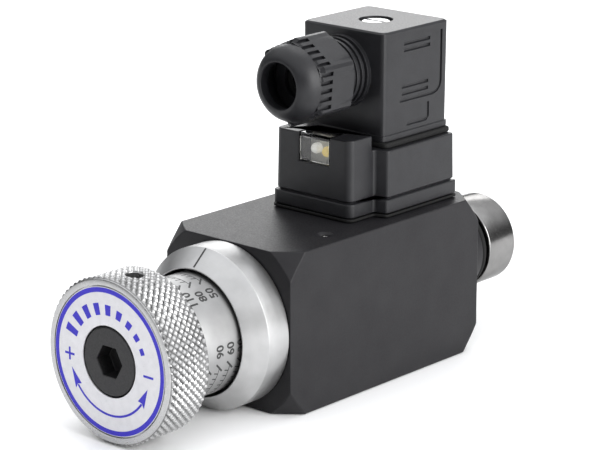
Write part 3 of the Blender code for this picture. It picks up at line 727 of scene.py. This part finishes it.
def rectangle(u, v, width, height, low, high):
    """A flat bar centred on (u, v)."""
    half_u, half_v = width / 2, height / 2
    outline = [(u - half_u, v - half_v), (u + half_u, v - half_v), (u + half_u, v + half_v),
               (u - half_u, v + half_v)]
    return plate(outline, low, high)


def label_print(ink, y):
    """Border, plus and minus signs, a double-headed arrow and a row of bars that grows towards plus."""
    low, high = -0.02, PRINT_LIFT
    inner, outer = BORDER_R
    border = [(y - low, inner), (y - high, inner), (y - high, outer), (y - low, outer)]
    piece("label_border", turned(border), ink, "adjuster")

    arm, thick = 1.75, 0.62
    plus, minus = (-MARK_R, -0.8), (MARK_R - 0.3, -0.9)
    marks = [rectangle(*plus, 2 * arm, thick, low, high)]
    for side in (-1, 1):
        # the plus sign's upright is two pieces, so that no faces lie in each other
        stub = arm - thick / 2
        marks.append(rectangle(plus[0], plus[1] + side * (thick + stub) / 2, thick, stub, low, high))
    marks.append(rectangle(*minus, 2 * arm, thick, low, high))

    tip, neck, steps = 107.0, 127.0, 40
    path = [polar(MARK_R, neck + (360 - 2 * neck) * k / steps) for k in range(steps + 1)]
    marks.append(stroke(path, 0.6, low, high))
    for side in (-1, 1):
        outline = [polar(MARK_R, side * tip), polar(MARK_R + 1.35, side * (neck + 1.5)),
                   polar(MARK_R, side * (neck - 1.0)), polar(MARK_R - 1.35, side * (neck + 1.5))]
        marks.append(plate(outline, low, high))

    half = math.degrees(0.85 / BAR_R)
    for k in range(BAR_COUNT):
        turn = BAR_SPREAD - 2 * BAR_SPREAD * k / (BAR_COUNT - 1)
        end = BAR_R + 1.4 + 2.8 * k / (BAR_COUNT - 1)
        outline = [polar(BAR_R, turn - half), polar(end, turn - half), polar(end, turn),
                   polar(end, turn + half), polar(BAR_R, turn + half)]
        marks.append(plate(outline, low, high))
    piece("label_marks", lay_on_face(merged(marks), y), ink, "adjuster")


# ---------------------------------------------------------------- drum and ring

def drum(mat, paint):
    low, high = span("scale_drum")
    radius, bore = radius_of("scale_drum"), radius_of("adjusting_spindle") + CLEARANCE
    inner, wall = 14.2, low.y + 2.6
    profile = [(low.y, bore), (low.y, radius), (high.y, radius), (high.y, inner), (wall, inner), (wall, bore)]
    piece("scale_sleeve", turned(soften(profile, 0.25)), mat, "adjuster",
          ["scale_drum"])
    scale_marks(paint, radius)


def line_y(turn):
    """Place of a row's line along the axis, from the row's start, as it winds towards the knob."""
    return -ROW_PITCH * (turn - ROW_START) / 360.0


def drum_mark(path, width, radius, y):
    """A painted line through (angle, y) points on the drum, in steps of at most 1.5 degrees."""
    flat = [path[0]]
    for (t0, y0), (t1, y1) in zip(path, path[1:]):
        parts = max(1, math.ceil(abs(t1 - t0) / 1.5))
        flat += [(t0 + (t1 - t0) * k / parts, y0 + (y1 - y0) * k / parts) for k in range(1, parts + 1)]
    points = [(-math.radians(turn) * radius, -along) for turn, along in flat]
    return wrap_on_drum(stroke(points, width, -PAINT_DEPTH, PRINT_LIFT), radius, 0.0, y)


def scale_marks(paint, radius):
    """Rows that wind round the drum, each with a line, ticks, long ticks and numbers."""
    marks = []
    gap = 14.0                # degrees between a row's middle and the lines beside its number
    for row, texts in enumerate(ROW_LABELS):
        start_y = FIRST_ROW_Y - ROW_PITCH * row
        for begin, end in ((ROW_START, ROW_MIDDLE - gap), (ROW_MIDDLE + gap, ROW_END)):
            count = 24
            turns = [begin + (end - begin) * k / count for k in range(count + 1)]
            marks.append(drum_mark([(turn, line_y(turn)) for turn in turns], 0.2, radius, start_y))
            for k in range(1, TICK_COUNT):
                turn = begin + (end - begin) * k / TICK_COUNT
                tick = [(turn, line_y(turn)), (turn - 1.6, line_y(turn) - 1.5)]
                marks.append(drum_mark(tick, 0.32, radius, start_y))
        edge = ROW_MIDDLE - gap
        long_ticks = (
            [(ROW_START + 4.0, 1.2), (ROW_START - 4.5, -1.3)],
            [(edge, line_y(edge) + 1.1), (edge, line_y(edge) - 1.3)],
            [(ROW_END - 3.5, line_y(ROW_END) + 1.2), (ROW_END + 3.5, line_y(ROW_END) - 1.3)],
        )
        for tick in long_ticks:
            marks.append(drum_mark(tick, 0.52, radius, start_y))
        for text, turn in zip(texts, (89.0, ROW_MIDDLE, 394.0)):
            if text:
                shape = digits(text, DIGIT_HEIGHT, -PAINT_DEPTH, PRINT_LIFT)
                marks.append(wrap_on_drum(shape, radius, turn, start_y + line_y(turn) - 0.2))
    piece("scale_marks", merged(marks), paint, "adjuster")


def ring(mat, paint):
    low, high = span("index_ring")
    radius = radius_of("index_ring")
    bore, band = 17.4, -48.0  # the cone runs from the bore's edge back to the band
    profile = [(high.y, bore), (high.y, radius), (band, radius), (low.y + 0.25, bore + 0.5),
               (low.y, bore + 0.3), (low.y, bore)]
    piece("index_ring_fine", turned(soften(profile, 0.18)), mat, "housing",
          ["index_ring"])
    index_line(paint, Vector((band - 0.1, radius - 0.08)), Vector((low.y + 0.4, bore + 0.65)))


def index_line(paint, start, end):
    """The painted line along the top of the ring's cone, between two (along, radius) points."""
    along = (end - start).normalized()
    out = Vector((along.y, -along.x))
    half = 0.27
    corners = ((-half, -PAINT_DEPTH), (half, -PAINT_DEPTH), (half, PRINT_LIFT), (-half, PRINT_LIFT))
    bm = bmesh.new()
    rings = []
    for point in (start, end):
        rings.append([bm.verts.new((x, point.x + out.x * w, AXIS_Z + point.y + out.y * w))
                      for x, w in corners])
    bridge(bm, rings, closed=False)
    bm.faces.new(rings[0])
    bm.faces.new(rings[1])
    piece("index_line", bm, paint, "housing")


# ---------------------------------------------------------------- rear end and spring

def port_neck(mat):
    """The black boss, with a smaller spigot that enters the block, a groove for the seal and the port."""
    low, high = span("port_neck")
    boss, spigot, groove, core, counterbore = radius_of("port_neck"), 8.8, 10.4, 2.5, 6.9
    shoulder, groove_start, counterbore_end = 40.3, 55.0, 49.7
    profile = [(low.y, core), (low.y, spigot), (shoulder, spigot), (shoulder, boss), (groove_start, boss),
               (groove_start, groove), (high.y, groove), (high.y, counterbore),
               (counterbore_end, counterbore), (counterbore_end, core)]
    piece("port_neck_fine", turned(soften(profile, 0.3)), mat, "housing", ["port_neck"])


def port_fitting(mat):
    """The bright end ring, with its chamfered port and a smaller collar that enters the neck."""
    low, high = span("port_fitting")
    radius, port, collar, core = radius_of("port_fitting"), 5.9, 6.6, 3.0
    start, chamfer = 58.1, 1.3
    profile = [(low.y, core), (low.y, collar), (start, collar), (start, radius), (high.y, radius),
               (high.y, port + chamfer), (high.y - chamfer, port), (60.5, port), (59.0, core)]
    piece("port_fitting_fine", turned(soften(profile, 0.55, 4)), mat, "housing",
          ["port_fitting"])


def port_seal(mat):
    """An O-ring that fills its node's box."""
    low, high = span("port_seal")
    section = (high.y - low.y) / 2
    major = (high.x - low.x) / 2 - section
    steps = 16
    turns = [2.0 * math.pi * k / steps for k in range(steps)]
    profile = [((low.y + high.y) / 2 + section * math.sin(t), major + section * math.cos(t)) for t in turns]
    piece("port_seal_fine", turned(profile), mat, "housing", ["port_seal"])


def main_spring(mat):
    """The main spring, shortened from its rear end so that it stays clear of the plate; its front end stays
    in place.
    """
    low, high = span("main_spring")
    end = high.y - SPRING_GAP
    bm = bmesh.new()
    bm.from_mesh(NODES["main_spring"].data)
    bmesh.ops.scale(bm, verts=bm.verts, vec=(1 / MM, 1 / MM, 1 / MM))
    for vert in bm.verts:
        vert.co.y = low.y + (vert.co.y - low.y) * (end - low.y) / (high.y - low.y)
    obj = piece("main_spring_fine", bm, mat, None, ["main_spring"], smooth=80.0)
    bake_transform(obj)


# ---------------------------------------------------------------- gland

def nut_columns():
    """Places across one flat of the nut, each with whether a slot is open there."""
    half = NUT_AF / 2 * math.tan(math.pi / 6)
    bevel = math.sqrt(NUT_CORNER_R ** 2 - NUT_AF ** 2 / 4)
    columns = [(u, False) for u in (-half, -bevel, bevel, half)]
    sliver = 0.001            # keeps a slot's wall steep
    for number in range(-2, 3):
        start, end = number * SLOT_STEP - SLOT_WIDTH / 2, number * SLOT_STEP + SLOT_WIDTH / 2
        columns += [(start - sliver, False), (start + sliver, True)]
        columns += [(end - sliver, True), (end + sliver, False)]
    return sorted(columns)[:-1]  # the last place is the next flat's first


def gland_nut(mat):
    """A hexagon with a slotted band and a round dome, built ring by ring along its axis."""
    low, high = span("gland_nut")
    back, front, corner = high.y, low.y, NUT_CORNER_R
    slot_back, slot_front = -10.1, -14.5
    columns = nut_columns()
    outer = [(back, 11.5), (back - 0.6, corner), (slot_back, corner), (slot_back, corner), (-13.4, corner),
             (-13.9, 11.35), (-14.3, 10.85), (slot_front, 10.78), (slot_front, 10.78), (-15.3, 10.58),
             (-16.2, 10.3), (-17.1, 9.9), (-17.9, 9.35), (-18.6, 8.75), (-19.2, 8.05),
             (front + 0.1, 7.35), (front, 6.95)]
    slotted = range(3, 8)     # the rings between the slots' ends
    bore = [(front, 6.6), (front + 0.3, 6.4), (-16.8, 6.4), (-10.9, 9.25), (back, 9.25)]
    frame_turn = along_y(GLAND_Z) @ Matrix.Rotation(math.radians(NUT_TWIST), 4, "Z")
    bm = bmesh.new()
    rings = []
    for number, (along, radius) in enumerate(outer + bore):
        ring_verts = []
        for facet in range(6):
            normal = Matrix.Rotation(math.pi / 3 * facet, 4, "Z")
            for u, is_slot in columns:
                turn = math.atan2(u, NUT_AF / 2)
                on_hexagon = NUT_AF / 2 / math.cos(turn)
                reach = min(radius, on_hexagon) if number < len(outer) else radius
                point = Vector((reach * math.cos(turn), reach * math.sin(turn), along))
                if number in slotted:
                    point = Vector((min(point.x, SLOT_FLOOR) if is_slot else point.x, u, along))
                ring_verts.append(bm.verts.new(frame_turn @ normal @ point))
        rings.append(ring_verts)
    bridge(bm, rings)
    piece("gland_nut_fine", bm, mat, "gland_nut_body", ["gland_nut"], smooth=25.0)


def gasket(mat):
    """The plug's gasket, a little thicker than its CAD node, squeezed between the two housings."""
    low, high = span("plug_gasket")
    bottom, top, width = low.z - GASKET_GROW, high.z + GASKET_GROW, 3.0

    def outline(inset):
        corners = [(low.x + inset, low.y + inset), (high.x - inset, low.y + inset),
                   (high.x - inset, high.y - inset), (low.x + inset, high.y - inset)]
        return soften(corners, 1.6, 5)

    bm = bmesh.new()
    rings = []
    for z, inset in ((bottom, 0.3), (low.z, 0.05), (low.z + 0.3, 0.0), (high.z - 0.3, 0.0), (high.z, 0.05),
                     (top, 0.3), (top, width), (bottom, width)):
        rings.append([bm.verts.new((x, y, z)) for x, y in outline(inset)])
    bridge(bm, rings)
    piece("plug_gasket_fine", bm, mat, "plug", ["plug_gasket"])


# ---------------------------------------------------------------- stage

def aim(obj, target):
    obj.rotation_euler = (Vector(target) - obj.location).to_track_quat("-Z", "Y").to_euler()


def softbox(name, place, width, height, power):
    light = bpy.data.lights.new(name, "AREA")
    light.shape = "RECTANGLE"
    light.size = width
    light.size_y = height
    light.energy = power
    obj = bpy.data.objects.new(name, light)
    obj.location = place
    bpy.context.collection.objects.link(obj)
    aim(obj, LIGHT_TARGET)


def lay_floor():
    bm = bmesh.new()
    bmesh.ops.create_grid(bm, x_segments=2, y_segments=2, size=FLOOR_HALF * MM)
    bmesh.ops.translate(bm, verts=bm.verts, vec=(0.0, 0.0, -FLOOR_DROP * MM))
    mesh = bpy.data.meshes.new("floor")
    bm.to_mesh(mesh)
    bm.free()
    mesh.materials.append(floor_finish())
    floor = bpy.data.objects.new("floor", mesh)
    bpy.context.collection.objects.link(floor)


def studio():
    """A soft sky that is dark at the horizon and bright overhead, and the softboxes."""
    world = bpy.data.worlds.new("studio")
    world.use_nodes = True
    tree = world.node_tree
    place = tree.nodes.new("ShaderNodeTexCoord")
    split = tree.nodes.new("ShaderNodeSeparateXYZ")
    sky = tree.nodes.new("ShaderNodeMapRange")
    sky.interpolation_type = "SMOOTHSTEP"
    for socket, value in SKY:
        sky.inputs[socket].default_value = value
    tree.links.new(place.outputs["Generated"], split.inputs["Vector"])
    tree.links.new(split.outputs["Z"], sky.inputs["Value"])
    tree.links.new(sky.outputs["Result"], tree.nodes["Background"].inputs["Strength"])
    tree.nodes["Background"].inputs["Color"].default_value = (0.97, 0.98, 1.0, 1.0)
    bpy.context.scene.world = world
    bpy.context.scene.view_settings.view_transform = "Standard"
    for settings in SOFTBOXES:
        softbox(*settings)


def camera():
    azimuth, elevation = math.radians(AZIMUTH), math.radians(ELEVATION)
    across = math.cos(elevation)
    direction = Vector((math.sin(azimuth) * across, -math.cos(azimuth) * across, math.sin(elevation)))
    data = bpy.data.cameras.new("camera")
    data.lens = LENS
    data.sensor_width = 36.0
    data.clip_start = 0.01
    obj = bpy.data.objects.new("camera", data)
    obj.location = Vector(TARGET) + direction * DISTANCE
    bpy.context.collection.objects.link(obj)
    aim(obj, TARGET)
    bpy.context.scene.camera = obj


# ---------------------------------------------------------------- assembly

def paint_nodes(materials):
    """Gives every CAD node its slot's finish, which shows on the nodes that nothing replaces."""
    for node, obj in NODES.items():
        obj.data.materials.clear()
        obj.data.materials.append(materials[NODE_SLOT[node]])


def build():
    camera()
    lay_floor()
    studio()
    turned_silver = silver()
    materials = {
        "anodised_black": anodised_black(), "silver_aluminium": turned_silver, "bright_steel": plain_steel(),
        "brass": brass(), "black_steel": black_oxide(), "black_plastic": black_plastic(),
        "black_rubber": soft_rubber(), "grey_plastic": grey_plastic(), "label_white": label_foil(),
        "amber_lamp": lamp("amber_lamp", (0.95, 0.72, 0.2), 0.25),
        "circuit_board": circuit_board(), "clear_plastic": clear_lens(),
    }
    paint_nodes(materials)
    paint = black_paint()
    knob(knurled_silver_with_painted_shade(radius_of("knob")), materials["label_white"], blue_ink(),
         materials["black_steel"])
    drum(silver("silver_drum", 0.34, 0.41), paint)
    ring(turned_silver, paint)
    port_neck(materials["anodised_black"])
    port_fitting(bright_steel())
    port_seal(materials["black_rubber"])
    gland_nut(materials["black_plastic"])
    refine("valve_body", materials["anodised_black"], 0.3, 3)
    refine("connector_base", materials["black_plastic"], 0.35, 3)
    refine("plug_housing", materials["black_plastic"], 0.12, 2)
    gasket(materials["black_rubber"])
    refine("flange_gasket", materials["black_rubber"], 0.15)
    refine("plug_screw", materials["bright_steel"], 0.25)
    refine("top_set_screw", bright_steel(), 0.1)
    main_spring(materials["bright_steel"])
    refine("led_lens", materials["clear_plastic"], 0.25, 2)
    white_lamp = lamp("white_lamp", (0.95, 0.95, 0.92), 0.25)
    NODES["led_power"].data.materials[0] = white_lamp


build()
